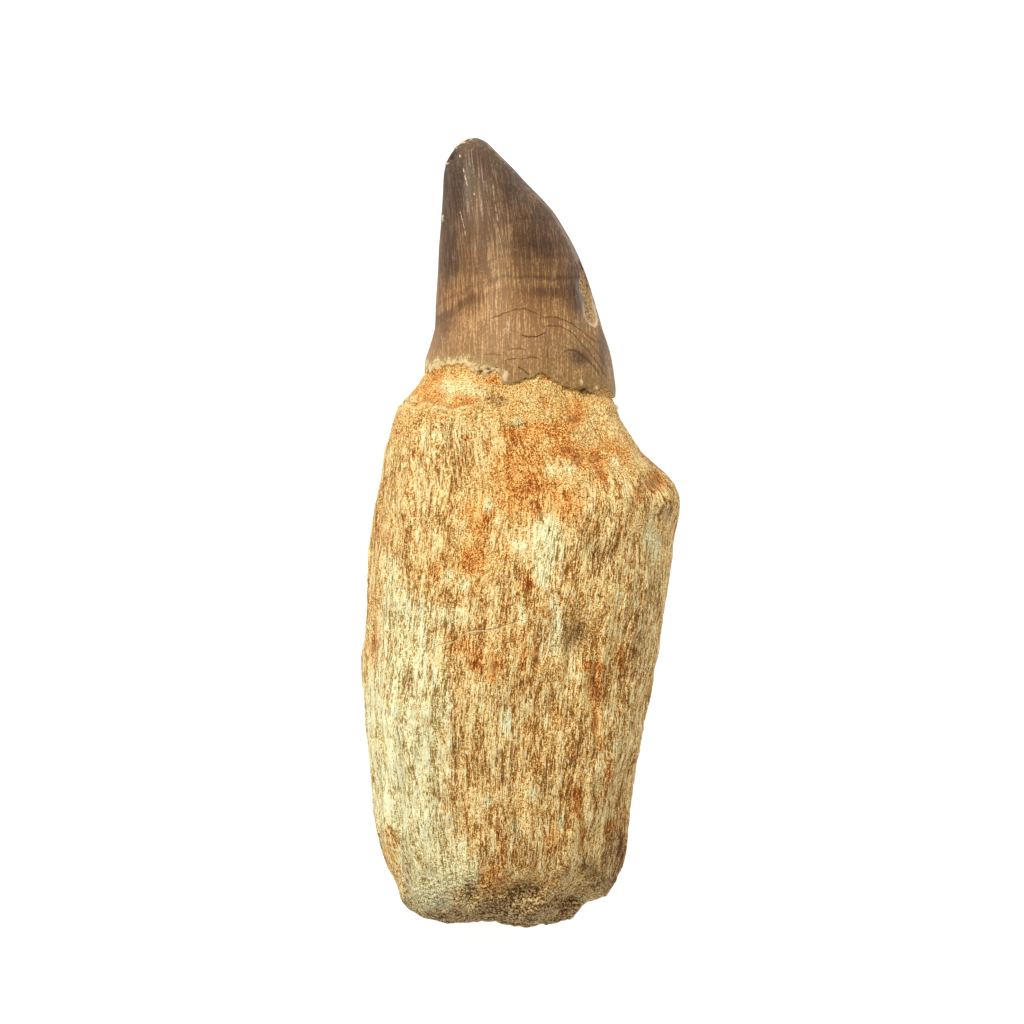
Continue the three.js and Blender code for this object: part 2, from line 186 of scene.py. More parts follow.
FORM_SPOTS = [
    (9.4, 43.6, 2.2, 3.2, -0.9), (8.2, 45.5, 0.6, 2.6, 0.35), (6.6, 46, 0.9, 6, 0.45),
    (1.1, 5.2, 3.4, 1.8, -1.2), (7.2, 3.4, 2.2, 1.3, -0.8), (-7.4, 6.4, 1.2, 1.4, -0.5),
    (-18.4, 10, 0.7, 5.5, -0.5), (-17.3, 8.6, 0.6, 5, 0.4), (-15.3, 43.8, 0.4, 2.6, -0.5),
    (-16.4, 37.6, 0.9, 2.6, -0.3), (11.8, 37, 0.5, 3.6, -0.5), (11.9, 31, 0.6, 2.4, -0.4),
    (9.9, 15.6, 0.6, 4.5, -0.4), (8.6, 21.5, 0.7, 3.5, -0.35), (21, 68, 1.2, 1.2, -0.7),
    (18.6, 65.9, 0.9, 1, -0.4), (-4.4, 64.5, 0.8, 1.2, 0.25), (4.1, 58.3, 2, 3.6, 0.2),
    (-0.4, 77.1, 1.1, 0.5, 0.45), (-0.2, 76.1, 1.4, 0.4, -0.35), (8.7, 77.5, 0.9, 0.5, -0.4),
    (12.5, 56.6, 3, 0.5, -0.25), (5.6, 56.2, 0.9, 0.5, 0.3), (-1.8, 31.6, 0.8, 2.2, 0.25),
]
# Partly the bone's own tone, partly painted light down the left edge and painted shade in the hollows at
# the root's end and down its lower right edge.
TONE_AND_PAINTED_LIGHT_SPOTS = [
    (15.5, 73, 5, 7, 0.11), (17.5, 45, 3, 12, 0.06), (-18, 27, 6, 14, 0.1),
    (-12, 5, 5, 4, 0.2), (-13, 82, 4, 3, 0.08), (15.9, 11, 1.4, 6, -0.35),
    (-20.8, 62, 1.5, 8, -0.08), (3, 76.5, 6, 1.6, -0.06), (-6, 70, 5, 5, 0.05),
    (19, 60, 3, 6, 0.05), (4, 53, 3, 6, 0.06), (1.1, 5.6, 3.4, 1.4, -0.15),
    (7.2, 3.6, 2.4, 1.2, -0.1), (-22.6, 31, 1.4, 11, 0.12), (0, 3, 16, 3, 0.06),
]
CRUMBLY_SPOTS = [
    (12, 75, 8, 6, 1.2), (7, 69, 5, 5, 0.6), (-1.5, 67, 5, 5, 0.6),
    (-6, 60.5, 4, 4, 0.6), (-5, 53, 4, 4.5, 0.5), (0, 82.5, 40, 5.6, 1.8),
    (-6, 2, 30, 5, 1.3), (-8, 8, 4, 4, 0.5), (4, 38, 3, 3, 0.5),
    (9.5, 44, 2, 3, 0.8),
]
DUSKY_SPOTS = [
    (2.8, 108, 4.6, 9, 0.65), (-10.4, 108, 1.5, 8, 0.8), (-10, 113, 1.6, 4, 2.4),
    (-1.6, 113, 1.6, 3.4, 0.8), (-10, 101, 1.8, 3, 0.5), (3.4, 103.6, 3.2, 1.6, 0.8),
    (8.6, 98.6, 2, 4.4, 0.8), (9.2, 94.6, 1.4, 2.4, 0.9), (9.3, 86.6, 1.5, 1.3, 1),
    (-10, 117.3, 0.7, 0.6, 1.8), (13.4, 88.5, 1.6, 6, 0.7), (6, 87, 4, 4, 0.35),
    (-11, 90, 2, 4, 0.5), (-10.5, 100.5, 2.6, 6, 0.3),
]
TAN_SPOTS = [
    (-2.6, 98, 2.2, 8, 1.1), (-1.5, 90, 6, 4, 0.6), (-8.5, 98.6, 2.4, 1.2, 0.6),
    (-6.2, 109.5, 1, 6, 0.6), (-4, 87, 5, 1.6, 0.4), (2.4, 111.2, 1.6, 1.6, 0.5),
    (4, 98.2, 2.4, 0.7, 0.4),
]
# Pale flakes along the enamel's edge and the tip's rim, and painted glints: small white highlights painted
# on the crown's front, from the tip down to near its lower edge.
FLAKE_AND_GLINT_SPOTS = [
    (-1.9, 83.9, 0.4, 0.9, 1.5), (-4.2, 84.9, 1.3, 0.35, 0.8), (9.6, 82.9, 0.3, 0.5, 1.2),
    (11.9, 82.1, 0.25, 0.4, 1.1), (-1.9, 86.6, 0.25, 0.25, 1.1), (3.8, 86.3, 0.2, 0.2, 1.1),
    (-10.7, 116.3, 0.3, 0.25, 1.1), (-7.2, 85.7, 1.6, 0.4, 0.7), (-11.4, 108.2, 0.4, 1.1, 0.7),
    (-5, 84.4, 0.4, 0.25, 0.8), (-10.3, 117.9, 0.3, 0.3, 0.9), (-9.4, 118.7, 0.4, 0.3, 0.9),
    (-8.3, 119.4, 0.5, 0.25, 0.9), (-7.2, 119.9, 0.6, 0.2, 0.7), (-8.8, 117.4, 0.12, 0.4, 1),
    (-8.2, 115, 0.14, 0.3, 1.1), (-7.9, 113.5, 0.14, 0.3, 1), (-6.6, 111.5, 0.16, 0.2, 1.1),
    (-1.3, 89.6, 0.16, 0.4, 0.9),
]
# Painted sheen: spots of greyish reflection painted into the enamel's colour, on the tip and its upper
# left, above the left band and down the right edge.
PAINTED_SHEEN_SPOTS = [
    (-7.6, 113.2, 0.6, 3.4, 1.1), (-5.6, 112.6, 1.2, 3.4, 0.6), (13.6, 87, 0.7, 5, 0.6),
    (-11.2, 93.8, 1.4, 0.5, 0.7), (8.6, 103, 0.6, 4, 0.7), (-7, 107, 1.4, 3, 0.4),
]
PIT_SPOTS = [
    (10.2, 81.8, 0.8, 0.3, 1.3), (-13.9, 84.8, 0.35, 0.5, 1.2), (-5.7, 84.6, 0.5, 0.2, 1.2),
    (-4.5, 84.9, 0.5, 0.2, 1.2), (-3.2, 85.2, 0.5, 0.2, 1.2), (10, 44.4, 0.3, 1.6, 0.7),
    (-10, 117.3, 0.6, 0.5, 0.9),
]


def srgb(red, green, blue):
    """The linear colour, with alpha, of an sRGB one given from 0 to 255."""
    shares = (value / 255 for value in (red, green, blue))
    linear = (s / 12.92 if s <= 0.04045 else ((s + 0.055) / 1.055) ** 2.4 for s in shares)
    return (*linear, 1.0)


# Colours of the bone, from its creases to the tops of its fibres.
PLAIN_BONE = [
    (138, 88, 35), (187, 128, 60), (222, 168, 92), (243, 196, 115), (255, 225, 149), (255, 242, 188),
]
RUSTY_BONE = [
    (126, 60, 16), (176, 96, 34), (212, 134, 58), (238, 164, 78), (252, 198, 110), (255, 228, 152),
]
BLEACHED_BONE = [
    (152, 117, 60), (206, 176, 107), (240, 217, 149), (254, 239, 175), (255, 251, 197), (255, 254, 216),
]
BROWN_BONE = [
    (90, 56, 21), (133, 88, 38), (168, 122, 63), (196, 151, 87), (221, 185, 122), (242, 218, 163),
]

# The enamel's patches: map, how much its clouds and its striae break it up, where it is whole, its
# share and its colour.
ENAMEL_PATCHES = [
    ("dusky", 0.9, 0.4, 1.1, 0.7, (74, 54, 40)), ("tan", 0.6, 0.4, 1.1, 0.6, (184, 146, 98)),
    # the sheen patch is painted sheen, a greyish reflection painted into the colour
    ("sheen", 0.5, 0.6, 1.0, 0.5, (150, 134, 120)),
]

# Colours of the enamel, from the crown's foot to its tip, and where its growth shows: share of the
# way up from GROWTH_FROM over GROWTH_SPAN, and strength.
GROWTH_FROM = 84.0
GROWTH_SPAN = 34.0
ENAMEL_SHADES = [
    (0, (172, 136, 84)), (0.1, (168, 130, 82)), (0.24, (168, 128, 84)), (0.32, (161, 120, 75)),
    (0.4, (146, 106, 66)), (0.5, (129, 94, 59)), (0.67, (112, 83, 57)), (0.8, (102, 80, 61)),
    (0.9, (106, 85, 66)), (1, (132, 108, 84)),
]
GROWTH_BANDS = [
    (0, 0), (0.28, 0), (0.325, 0.35), (0.34, 0.35), (0.365, 0.8), (0.38, 0.8), (0.4, 0.2),
    (0.415, 0.1), (0.429, 0.3), (0.442, 0.2), (0.46, 0), (0.485, 0.2), (0.51, 0), (1, 0),
]
GROWTH_ARCS = [
    (0, 0), (0.425, 0), (0.438, 1), (0.451, 0.1), (0.48, 0.1), (0.495, 0.25), (0.51, 0.1),
    (0.535, 0.75), (0.555, 0.25), (0.58, 0.8), (0.592, 0.8), (0.61, 0.25), (0.626, 0.6), (0.645, 0.1),
    (0.68, 0.1), (0.7, 0.6), (0.72, 0), (1, 0),
]

# Scratches and hairlines of the enamel's front, and crevices of the bone's: points, half width and
# colour.
PALE_LINE = srgb(222, 204, 172)
DARK_LINE = srgb(74, 46, 26)
SCRATCHES = [
    ([(-3.7, 113), (-3.6, 111), (-3.3, 109), (-2.9, 107.3)], 0.08, PALE_LINE),
    ([(-3.1, 106.6), (-2.6, 104.2), (-2.1, 101.4)], 0.05, PALE_LINE),
    ([(-8.3, 115.6), (-7.9, 114), (-7.6, 112.6)], 0.09, PALE_LINE),
    ([(-8.9, 109.4), (-8.3, 107.2), (-7.9, 105.2)], 0.06, PALE_LINE),
    ([(-1.5, 92.4), (-1.4, 91.2), (-1.5, 89.6)], 0.07, PALE_LINE),
    ([(2.4, 87.3), (3.2, 88.3)], 0.05, PALE_LINE),
    ([(-0.8, 93.4), (-0.9, 91.4), (-1.4, 89.2), (-1.4, 87)], 0.05, DARK_LINE),
    ([(3.2, 97.5), (3.4, 95.2), (3.5, 93.6), (3.4, 92.2)], 0.05, DARK_LINE),
    ([(4.2, 90.6), (4.3, 89), (4.5, 87.4), (4.5, 85.2)], 0.05, DARK_LINE),
    ([(-6.5, 89), (-6.6, 88), (-6.4, 86.4)], 0.05, DARK_LINE),
    ([(-7.4, 106), (-7.1, 101), (-7.1, 97), (-6.9, 93.5)], 0.06, DARK_LINE),
    ([(4.8, 101.6), (5, 98.8), (4.9, 96)], 0.05, DARK_LINE),
    ([(1.6, 103), (2, 100.6), (2, 98.2)], 0.05, DARK_LINE),
    ([(7.6, 82.4), (7.3, 83.3), (6.9, 84.4)], 0.08, DARK_LINE),
]
CREVICES = [
    ([(-5.3, 83.6), (-4.2, 84.5), (-3.2, 85.1)], 0.14, DARK_LINE),
    ([(-6.4, 84), (-5.1, 85)], 0.12, DARK_LINE),
    ([(-5.9, 83.3), (-4.6, 84.1), (-3, 84.7)], 0.14, PALE_LINE),
    ([(-2.7, 83.6), (-1.6, 82.7), (-0.6, 82.4)], 0.12, DARK_LINE),
    ([(-3.2, 77.3), (-1.2, 76.4), (0.8, 76.7), (1.6, 77.4)], 0.12, DARK_LINE),
    ([(-4.9, 80.4), (-2.8, 80.5), (-1, 79.8)], 0.14, DARK_LINE),
    ([(7.6, 77.6), (8.6, 76.9), (9.6, 76.2)], 0.2, DARK_LINE),
    ([(17.8, 67), (18.8, 65.6), (19.2, 63.8)], 0.14, DARK_LINE),
    ([(6.9, 46.6), (7.4, 44.4), (7.2, 42)], 0.14, DARK_LINE),
    ([(10.8, 43.8), (11.4, 41.2), (11.6, 37.6), (12, 34)], 0.16, DARK_LINE),
    ([(9.6, 22), (9.9, 18), (10, 13)], 0.16, DARK_LINE),
    ([(-2.6, 7.4), (0.4, 7), (3.6, 6.2)], 0.2, DARK_LINE),
    ([(-8.4, 8), (-7.4, 6.6), (-7, 4.8)], 0.16, DARK_LINE),
]


def smoothstep(low, high, values):
    share = np.clip((values - low) / (high - low), 0, 1)
    return share * share * (3 - 2 * share)


# ---------------------------------------------------------------- shader maths


class Wire:
    """One output socket of a material. Arithmetic adds Math nodes, and node() adds any other node."""

    def __init__(self, socket):
        self.socket = socket

    def node(self, kind, settings=None, inputs=None, output=0):
        tree = self.socket.id_data
        made = tree.nodes.new("ShaderNode" + kind)
        for name, value in (settings or {}).items():
            if name == "stops":
                set_stops(made.color_ramp, value)
            elif name == "points":
                set_points(made.mapping, value)
            else:
                setattr(made, name, value)
        for key, value in (inputs or {}).items():
            if isinstance(value, Wire):
                tree.links.new(value.socket, made.inputs[key])
            else:
                made.inputs[key].default_value = value
        return Wire(made.outputs[output])

    def math(self, operation, first, second=0.0):
        return self.node("Math", {"operation": operation}, {0: first, 1: second})

    def __add__(self, other):
        return self.math("ADD", self, other)

    def __sub__(self, other):
        return self.math("SUBTRACT", self, other)

    def __rsub__(self, other):
        return self.math("SUBTRACT", other, self)

    def __mul__(self, other):
        return self.math("MULTIPLY", self, other)

    def __truediv__(self, other):
        return self.math("DIVIDE", self, other)

    __radd__ = __add__

    def size(self):
        return self.math("ABSOLUTE", self)

    def power(self, exponent):
        return self.math("POWER", self, exponent)

    def most(self, other):
        return self.math("MAXIMUM", self, other)

    def step(self, low, high):
        """0 up to low, 1 from high on, and smooth between. With low above high it falls."""
        ends = {"From Min": low, "From Max": high}
        return self.node("MapRange", {"interpolation_type": "SMOOTHSTEP"}, {"Value": self, **ends})

    def scaled(self, factors):
        """This vector times a vector of numbers."""
        return self.node("VectorMath", {"operation": "MULTIPLY"}, {0: self, 1: factors})

    def noise(self, cell, detail=2.0, roughness=0.5):
        """Noise from 0 to 1 at this vector, in cells of this many millimetres each way."""
        place = self.scaled([1 / (size * MM) for size in cell])
        looks = {"Scale": 1.0, "Detail": detail, "Roughness": roughness}
        return self.node("TexNoise", None, {"Vector": place, **looks})

    def blend(self, start, end):
        """The colour start where this is 0, and end where it is 1."""
        return self.node("Mix", {"data_type": "RGBA"}, {0: self, 6: start, 7: end}, 2)

    def lit(self, factor):
        """This colour times a number."""
        return self.node("VectorMath", {"operation": "SCALE"}, {0: self, 3: factor})

    def ramp(self, stops):
        """This value turned into a colour by (place, colour) stops."""
        return self.node("ValToRGB", {"stops": stops}, {0: self})

    def shades(self, colours):
        """This value turned into one of these sRGB colours, spread evenly from 0 to 1."""
        last = len(colours) - 1
        return self.ramp([(number / last, srgb(*colour)) for number, colour in enumerate(colours)])

    def curve(self, points):
        """This value, from 0 to 1, sent through a curve of (place, value) points."""
        return self.node("FloatCurve", {"points": points}, {"Value": self})


def set_stops(ramp, stops):
    while len(ramp.elements) < len(stops):
        ramp.elements.new(0.5)
    for element, (place, colour) in zip(ramp.elements, stops):
        element.position = place
        element.color = colour


def set_points(mapping, points):
    curve = mapping.curves[0]
    while len(curve.points) < len(points):
        curve.points.new(0.5, 0.5)
    for point, place in zip(curve.points, points):
        point.location = place
    mapping.update()


def new_material(name):
    """A material, its shader and a wire of its tree to start from."""
    material = bpy.data.materials.new(name)
    material.use_nodes = True
    shader = material.node_tree.nodes["Principled BSDF"]
    return material, shader, Wire(shader.outputs[0])


def connect(shader, **wires):
    """Links wires to the shader's inputs, named with _ for a space."""
    for name, wire in wires.items():
        socket = shader.inputs[name.replace("_", " ")]
        socket.id_data.links.new(wire.socket, socket)


# ---------------------------------------------------------------- the tooth's mesh


def deselect_all():
    bpy.ops.object.select_all(action="DESELECT")


def make_active(piece):
    deselect_all()
    piece.select_set(True)
    bpy.context.view_layer.objects.active = piece


def apply_modifier(piece, kind, **settings):
    make_active(piece)
    modifier = piece.modifiers.new(kind.lower(), kind)
    for name, value in settings.items():
        setattr(modifier, name, value)
    bpy.ops.object.modifier_apply(modifier=modifier.name)


def vertex_numbers(mesh, field="co"):
    numbers = np.empty(len(mesh.vertices) * 3, dtype=np.float32)
    mesh.vertices.foreach_get(field, numbers)
    return numbers.reshape(-1, 3).astype(float)


def tooth_places(mesh):
    """Each vertex as millimetres across, above the root's end and up."""
    return (vertex_numbers(mesh) - ROOT_END) / MM


def move_vertices(mesh, places):
    moved = places * MM + ROOT_END
    mesh.vertices.foreach_set("co", moved.astype(np.float32).ravel())
    mesh.update()


def smooth_cast(node):
    """A smooth copy of the solid tooth, without its enamel step, for the blank to be wrapped onto."""
    cast = node.copy()
    cast.data = node.data.copy()
    cast.name = "cast"
    bpy.context.collection.objects.link(cast)
    make_active(cast)
    bpy.ops.object.mode_set(mode="EDIT")
    bpy.ops.mesh.select_all(action="SELECT")
    bpy.ops.mesh.remove_doubles(threshold=0.01 * MM)
    bpy.ops.object.mode_set(mode="OBJECT")
    apply_modifier(cast, "SUBSURF", levels=2, render_levels=2)
    heights = tooth_places(cast.data)[:, 1]
    near_edge = cast.vertex_groups.new(name="near_edge")
    near = np.flatnonzero(abs(heights - MARGIN_HEIGHT) < STEP_REACH)
    near_edge.add(near.tolist(), 1.0, "REPLACE")
    apply_modifier(cast, "SMOOTH", factor=0.5, iterations=STEP_SMOOTHINGS, vertex_group="near_edge")
    return cast


def section_at(places, height, share):
    """Centre and half sizes, across and up, of a share of the tooth's section at a height."""
    reach = SLICE if height < POINTED_FROM else POINTED_SLICE
    near = places[abs(places[:, 1] - max(height, 2.0)) < reach]
    low = near.min(axis=0)
    high = near.max(axis=0)
    return (low + high) / 2, (high - low) / 2 * share


def tooth_blank(cast):
    """A tube of rings through the sections of the cast, closed at both ends."""
    places = tooth_places(cast.data)
    sections = [section_at(places, height, share) for height, share in BLANK_RINGS]
    centres = [
        ROOT_END + MM * np.array([middle[0], height, middle[2]])
        for (height, _), (middle, _) in zip(BLANK_RINGS, sections)
    ]
    halves = [half for _, half in sections]
    deselect_all()
    bpy.ops.mesh.primitive_circle_add(
        vertices=BLANK_SIDES, radius=MM, location=centres[0], rotation=(math.pi / 2, 0, 0)
    )
    blank = bpy.context.object
    blank.name = "tooth_surface"
    bpy.ops.object.transform_apply(location=True, rotation=True, scale=True)
    bpy.ops.object.mode_set(mode="EDIT")
    bpy.ops.transform.resize(value=(halves[0][0], 1, halves[0][2]), center_override=centres[0])
    for ring in range(1, len(sections)):
        ratio = halves[ring] / halves[ring - 1]
        travel = {"value": centres[ring] - centres[ring - 1]}
        bpy.ops.mesh.extrude_region_move(TRANSFORM_OT_translate=travel)
        bpy.ops.transform.resize(value=(ratio[0], 1, ratio[2]), center_override=centres[ring])
    close_ring(TIP_RISE)
    bpy.ops.mesh.select_all(action="DESELECT")
    bpy.ops.mesh.select_mode(type="VERT")
    bpy.ops.object.mode_set(mode="OBJECT")
    for vertex in blank.data.vertices[:BLANK_SIDES]:
        vertex.select = True
    bpy.ops.object.mode_set(mode="EDIT")
    close_ring(END_RISE)
    bpy.ops.mesh.select_all(action="SELECT")
    bpy.ops.mesh.normals_make_consistent(inside=False)
    bpy.ops.object.mode_set(mode="OBJECT")
    apply_modifier(blank, "SUBSURF", levels=BLANK_LEVELS, render_levels=BLANK_LEVELS)
    return blank


def close_ring(rise):
    """Closes the selected ring with a fan whose middle lies this far along the tooth from it."""
    bpy.ops.mesh.extrude_region_move(TRANSFORM_OT_translate={"value": (0, rise * MM, 0)})
    bpy.ops.mesh.merge(type="CENTER")


def ring_coordinates(places):
    """Each vertex's angle round its ring, from the bulging side, and the ring's middle and half sizes."""
    angles = np.zeros(len(places))
    middles = np.zeros_like(places)
    halves = np.zeros_like(places)
    levels = np.round(places[:, 1], 3)
    for level in np.unique(levels):
        on_ring = levels == level
        ring = places[on_ring]
        middle = (ring.min(axis=0) + ring.max(axis=0)) / 2
        half = np.maximum((ring.max(axis=0) - ring.min(axis=0)) / 2, 1e-6)
        across, _, up = ((ring - middle) / half).T
        angles[on_ring] = np.arctan2(up, across) % (2 * math.pi)
        middles[on_ring] = middle
        halves[on_ring] = half
    return angles, middles, halves


def noise_at(places, cell, seed=0.0):
    """Noise from about -1 to 1, in cells of this many millimetres each way."""
    scaled = places / np.array(cell) + seed
    return np.array([noise.noise(place) for place in scaled.tolist()])


def line_distance(places, line):
    """Distance in millimetres across the front from a line, below 0 on its right as it runs."""
    nearest = np.full(len(places), np.inf)
    signed = np.zeros(len(places))
    for start, end in zip(line, line[1:]):
        start = np.array(start)
        run = np.array(end) - start
        offset = places[:, :2] - start
        share = np.clip(offset @ run / (run @ run), 0, 1)
        gap = offset - share[:, None] * run
        distance = np.hypot(*gap.T)
        side = run[0] * offset[:, 1] - run[1] * offset[:, 0]
        closer = distance < nearest
        nearest[closer] = distance[closer]
        signed[closer] = (np.sign(side) * distance)[closer]
    return signed


def inside_distance(places, outline):
    """Distance in millimetres from a closed outline, above 0 inside it."""
    across, height = places[:, 0], places[:, 1]
    inside = np.zeros(len(places), dtype=bool)
    for (x0, y0), (x1, y1) in zip(outline, outline[1:] + outline[:1]):
        spans = (y0 > height) != (y1 > height)
        crossing = x0 + (height - y0) * (x1 - x0) / (y1 - y0 if y1 != y0 else 1e-9)
        inside ^= spans & (across < crossing)
    distance = abs(line_distance(places, outline + outline[:1]))
    return np.where(inside, distance, -distance)


def spots_at(places, spots):
    """The sum of soft round spots at each vertex."""
    total = np.zeros(len(places))
    for across, height, reach_across, reach_along, strength in spots:
        u = (places[:, 0] - across) / reach_across
        v = (places[:, 1] - height) / reach_along
        total += strength * np.exp(-(u * u + v * v))
    return total


class Carving:
    """The blank wrapped on the cast, with what the relief and the finishes need at each vertex."""

    def __init__(self, blank, cast):
        places = tooth_places(blank.data)
        self.angles, self.middles, self.halves = ring_coordinates(places)
        rings = np.unique(np.round(places[:, 1], 3))
        edge_ring = rings[np.argmin(abs(rings - MARGIN_HEIGHT))]
        self.above_edge = places[:, 1] - edge_ring
        near = 1 - smoothstep(0, PULL_REACH, abs(self.above_edge))
        places[:, 1] += (self.edge_height() - edge_ring) * near
        move_vertices(blank.data, places)
        apply_modifier(blank, "SHRINKWRAP", target=cast, wrap_method="NEAREST_SURFACEPOINT")
        self.mesh = blank.data
        self.places = self.trimmed(tooth_places(self.mesh))
        self.normals = vertex_numbers(self.mesh, "normal")
        self.front = smoothstep(-0.1, 0.35, self.normals[:, 2])
        self.facing = smoothstep(0.2, 0.6, self.normals[:, 2])
        self.end = smoothstep(0.45, 0.85, -self.normals[:, 1]) * (self.places[:, 1] < 20)
        self.bone = smoothstep(0.02, -0.15, self.above_edge)
        self.neck = self.bone * smoothstep(-6.5, -2.5, self.above_edge)
        self.grain = self.bent_grain()
        self.sweep = self.swept_places()
        self.banding = self.ring_across()
        self.chip = inside_distance(self.places, CHIP) - 4 * (1 - self.front)
        patches = noise_at(self.places, (5.0, 8.0, 5.0), 71.0)
        spots = spots_at(self.places, CRUMBLY_SPOTS) * np.maximum(self.front, 0.7)
        self.crumbly = np.clip(spots + 0.5 * self.end + 0.6 * patches, 0, 1) * self.bone

    def trimmed(self, places):
        """Places moved to the outline of the front, the less the farther from it."""
        side = np.clip((places[:, 0] - self.middles[:, 0]) / np.maximum(self.halves[:, 0], 1), -1, 1)
        left = np.interp(places[:, 1], *np.array(LEFT_TRIM).T)
        right = np.interp(places[:, 1], *np.array(RIGHT_TRIM).T)
        places[:, 0] += np.where(side < 0, left, right) * side**2
        end = np.interp(places[:, 0], *np.array(END_TRIM).T)
        places[:, 1] += end * smoothstep(10, 2, places[:, 1])
        return places

    def edge_height(self):
        """The height of the enamel's lower edge at each vertex's angle."""
        degrees, heights = np.array(ENAMEL_EDGE).T
        turn = np.degrees(self.angles)
        round_tooth = np.stack([np.cos(self.angles), np.sin(self.angles), 0 * turn], axis=1)
        ragged = 0.3 * noise_at(round_tooth, (0.07, 0.07, 1))
        return np.interp(turn, degrees, heights) + ragged

    def bent_grain(self):
        """Places straightened onto a cylinder, so that the grain follows the root's own shape."""
        straight = np.stack(
            [np.cos(self.angles) * GRAIN_RADIUS, self.places[:, 1], np.sin(self.angles) * GRAIN_RADIUS],
            axis=1,
        )
        return straight + (self.places - straight) * self.end[:, None]

    def ring_across(self):
        """Where each vertex's growth line crosses the front: its own place across, or the side's."""
        behind = np.interp(np.degrees(self.angles), (180, 235, 305, 360), (-1, -1, 1, 1))
        share = np.where(self.angles < math.pi, np.cos(self.angles), behind)
        return self.middles[:, 0] + self.halves[:, 0] * share

    def swept_places(self):
        """Places on a crown without its curve and taper in depth, so that the striae run along it."""
        at_edge = self.middles[np.argmin(abs(self.above_edge)), 0]
        across = self.places[:, 0] - 0.3 * (self.middles[:, 0] - at_edge)
        up = (self.places[:, 2] - self.middles[:, 2]) / np.maximum(self.halves[:, 2], 2.5) * 12
        return np.stack([across, self.places[:, 1], up], axis=1)


def bone_relief(carving):
    """Strands, threads, pits and crumbs of the bone, in millimetres."""
    sway = noise_at(carving.places, (3.0, 5.0, 3.0), 7.7)
    grain = carving.grain + 0.6 * sway[:, None] * np.array([1, 0, 1])
    fibrous = 1 - carving.crumbly
    strands = noise_at(grain, (1.3, 11.0, 1.3), 0.0)
    threads = noise_at(grain, (0.75, 4.5, 0.75), 31.0)
    crumbs = noise_at(carving.places, (0.9, 1.1, 0.9), 5.0)
    pits = smoothstep(0.42, 0.62, noise_at(grain, (1.0, 1.6, 1.0), 13.0))
    lumps = noise_at(carving.places, (4.5, 6.0, 4.5), 21.0)
    swells = noise_at(carving.places, (2.2, 3.0, 2.2), 27.0)
    knobs = noise_at(carving.places, (1.5, 1.1, 1.5), 37.0)
    low = smoothstep(62, 38, carving.places[:, 1])
    ends = smoothstep(9, 4, carving.places[:, 1])
    relief = fibrous * (0.14 * strands + 0.16 * threads) * (1 + 0.6 * low)
    relief += 0.16 * crumbs * (0.3 + carving.crumbly) + 0.2 * lumps + 0.2 * swells - 0.14 * pits - 0.1
    relief += 0.16 * knobs * (carving.neck + 1.2 * ends) + ends * (0.25 * swells - 0.12)
    carving.hollow = 0.5 - fibrous * (0.8 * threads + 0.5 * strands) + 0.4 * pits
    return relief * carving.bone


def enamel_relief(carving):
    """Faint facets and striae of the enamel, its chip and its worn spots, in millimetres."""
    facets = noise_at(carving.sweep, (2.6, 40.0, 8.0), 3.0)
    straight = noise_at(carving.sweep, (0.9, 18.0, 3.0), 9.0)
    bent = noise_at(carving.grain, (2.0, 18.0, 2.0), 9.0)
    striae = bent + (straight - bent) * carving.facing
    dents = noise_at(carving.places, (2.5, 3.5, 2.5), 19.0)
    crown = 1 - carving.bone
    floor = 0.4 + 0.2 * noise_at(carving.places, (0.8, 0.8, 0.8), 2.0)
    chipped = smoothstep(-0.05, 0.25, carving.chip) * floor * smoothstep(0.1, 0.5, carving.normals[:, 2])
    return crown * (0.08 * facets + 0.035 * striae + 0.05 * dents - chipped)


def edge_relief(carving):
    """The step from the enamel down to the neck, with crevices under the enamel."""
    below = -carving.above_edge
    right = smoothstep(-1.5, 0.5, carving.places[:, 0])
    step = (0.2 + 0.2 * right) * smoothstep(3.2, 0.3, below)
    gaps = smoothstep(-0.1, 0.35, noise_at(carving.places, (1.6, 1.6, 1.6), 17.0))
    crevice = 0.22 * smoothstep(0.9, 0.2, below) * (0.3 + gaps)
    return -carving.bone * (step + crevice) * (0.15 + 0.85 * carving.front)


def spot_relief(carving):
    """The flakes that stand out along the enamel's edge, the pits beside them, and small bumps under the
    painted glints.
    """
    flakes = np.clip(spots_at(carving.places, FLAKE_AND_GLINT_SPOTS), 0, 1)
    pits = np.clip(spots_at(carving.places, PIT_SPOTS), 0, 1)
    return carving.front * (0.25 * flakes - 0.5 * pits)


def form_relief(carving):
    """The hollows, ridges and flakes that are peculiar to this root's front."""
    return spots_at(carving.places, FORM_SPOTS) * carving.bone * smoothstep(0.0, 0.5, carving.normals[:, 2])


def lip_relief(carving):
    """The root's lip, below which the bone stands out, and the long scar across its front."""
    lip = line_distance(carving.places, LIP)
    reach = smoothstep(*LIP_FADE, carving.places[:, 0]) * carving.front
    raised = smoothstep(0.2, -0.3, lip) * smoothstep(-6.0, -0.6, lip)
    scar = line_distance(carving.places, SCAR)
    return 0.55 * reach * raised - 0.2 * smoothstep(0.5, 0.1, abs(scar)) * carving.front


def carve(carving):
    """Moves each vertex along its normal by the relief, within the solid tooth's box."""
    relief = (
        bone_relief(carving)
        + enamel_relief(carving)
        + edge_relief(carving)
        + spot_relief(carving)
        + form_relief(carving)
        + lip_relief(carving)
    )
    low, high = (np.array(CAD_BOX) - ROOT_END) / MM
    places = np.clip(carving.places + carving.normals * relief[:, None], low, high)
    move_vertices(carving.mesh, places)


def write_attribute(mesh, name, values):
    vector = values.ndim == 2
    layer = mesh.attributes.new(name, "FLOAT_VECTOR" if vector else "FLOAT", "POINT")
    layer.data.foreach_set("vector" if vector else "value", values.astype(np.float32).ravel())


